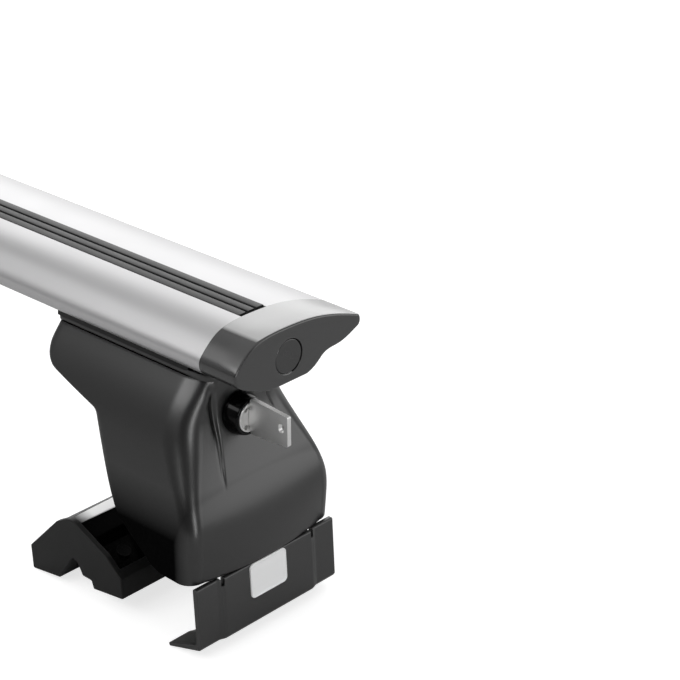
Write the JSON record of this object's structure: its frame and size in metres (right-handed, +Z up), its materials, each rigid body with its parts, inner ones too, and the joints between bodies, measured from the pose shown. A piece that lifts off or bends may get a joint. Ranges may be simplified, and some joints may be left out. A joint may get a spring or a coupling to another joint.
{
  "type": "roof rack crossbar",
  "caption": "Silver wing-section roof crossbar with a ribbed rubber top strip, black end caps and lockable black clamp feet with rubber pads, hooked clamp plates and keys",
  "frame": {"origin": "middle of the crossbar, on the plane that the feet's lips and pads stand on", "axes": "+X along the bar to the vehicle's left, -Y towards the wing's nose, +Z up"},
  "size_m": [1.202, 0.0959, 0.1599],
  "materials": {
    "bar_aluminium": "satin anodised",
    "strip_rubber": "ribbed, dull",
    "cap_plastic": "smooth moulding, low sheen",
    "black_plastic": "finely grained moulding",
    "gloss_black": "polished",
    "black_rubber": "smooth rubber",
    "black_steel": "black powder coat, semi gloss",
    "zinc_steel": "bright zinc plate",
    "lock_nickel": "nickel plate, lightly worn",
    "badge_silver": "silvery face, left blank"
  },
  "bodies": {
    "bar": {"wing_bar": "bar_aluminium", "top_strip": "strip_rubber", "left_end_cap": "cap_plastic", "left_cap_plug": "cap_plastic", "left_cap_screw": "zinc_steel", "right_end_cap": "cap_plastic", "right_cap_plug": "cap_plastic", "right_cap_screw": "zinc_steel"},
    "left_foot": {"left_bar_seat": "black_plastic", "left_bar_gasket": "black_rubber", "left_foot_cover": "black_plastic", "left_foot_bracket": "black_steel", "left_channel_bolts": "zinc_steel", "left_channel_washers": "zinc_steel", "left_channel_nuts": "zinc_steel", "left_clamp_nut": "zinc_steel", "left_lock_housing": "gloss_black", "left_lock_nut": "zinc_steel", "left_foot_pad": "black_rubber", "left_base_rail": "black_steel", "left_base_screws": "black_steel"},
    "left_clamp": {"left_clamp_plate": "black_steel", "left_badge": "badge_silver", "left_clamp_washer": "zinc_steel"},
    "left_bolt": {"left_clamp_bolt": "zinc_steel"},
    "left_lock": {"left_lock_barrel": "lock_nickel", "left_lock_cam": "zinc_steel"},
    "left_key": {"left_key": "lock_nickel"},
    "right_foot": {"right_bar_seat": "black_plastic", "right_bar_gasket": "black_rubber", "right_foot_cover": "black_plastic", "right_foot_bracket": "black_steel", "right_channel_bolts": "zinc_steel", "right_channel_washers": "zinc_steel", "right_channel_nuts": "zinc_steel", "right_clamp_nut": "zinc_steel", "right_lock_housing": "gloss_black", "right_lock_nut": "zinc_steel", "right_foot_pad": "black_rubber", "right_base_rail": "black_steel", "right_base_screws": "black_steel"},
    "right_clamp": {"right_clamp_plate": "black_steel", "right_badge": "badge_silver", "right_clamp_washer": "zinc_steel"},
    "right_bolt": {"right_clamp_bolt": "zinc_steel"},
    "right_lock": {"right_lock_barrel": "lock_nickel", "right_lock_cam": "zinc_steel"},
    "right_key": {"right_key": "lock_nickel"}
  },
  "joints": [
    {"name": "left_foot_slide", "type": "slide", "parent": "bar", "child": "left_foot", "axis": [-1, 0, 0], "range_m": [0, 0.15]},
    {"name": "left_clamp_slide", "type": "slide", "parent": "left_foot", "child": "left_clamp", "axis": [-1, 0, 0], "range_m": [0, 0.008]},
    {"name": "left_bolt_turn", "type": "hinge", "parent": "left_clamp", "child": "left_bolt", "pos_m": [0.571, -0.00075, 0.064], "axis": [-1, 0, 0], "range_deg": [0, 2304]},
    {"name": "left_lock_turn", "type": "hinge", "parent": "left_foot", "child": "left_lock", "pos_m": [0.571, -0.00075, 0.107], "axis": [-1, 0, 0], "range_deg": [0, 90]},
    {"name": "left_key_slide", "type": "slide", "parent": "left_lock", "child": "left_key", "axis": [1, 0, 0], "range_m": [0, 0.022]},
    {"name": "right_foot_slide", "type": "slide", "parent": "bar", "child": "right_foot", "axis": [1, 0, 0], "range_m": [0, 0.15]},
    {"name": "right_clamp_slide", "type": "slide", "parent": "right_foot", "child": "right_clamp", "axis": [1, 0, 0], "range_m": [0, 0.008]},
    {"name": "right_bolt_turn", "type": "hinge", "parent": "right_clamp", "child": "right_bolt", "pos_m": [-0.571, -0.00075, 0.064], "axis": [1, 0, 0], "range_deg": [0, 2304]},
    {"name": "right_lock_turn", "type": "hinge", "parent": "right_foot", "child": "right_lock", "pos_m": [-0.571, -0.00075, 0.107], "axis": [1, 0, 0], "range_deg": [0, 90]},
    {"name": "right_key_slide", "type": "slide", "parent": "right_lock", "child": "right_key", "axis": [-1, 0, 0], "range_m": [0, 0.022]}
  ],
  "couplings": [
    {"joint": "left_bolt_turn", "follows": "left_clamp_slide", "rad_per_m": 5026.5},
    {"joint": "right_bolt_turn", "follows": "right_clamp_slide", "rad_per_m": 5026.5}
  ]
}
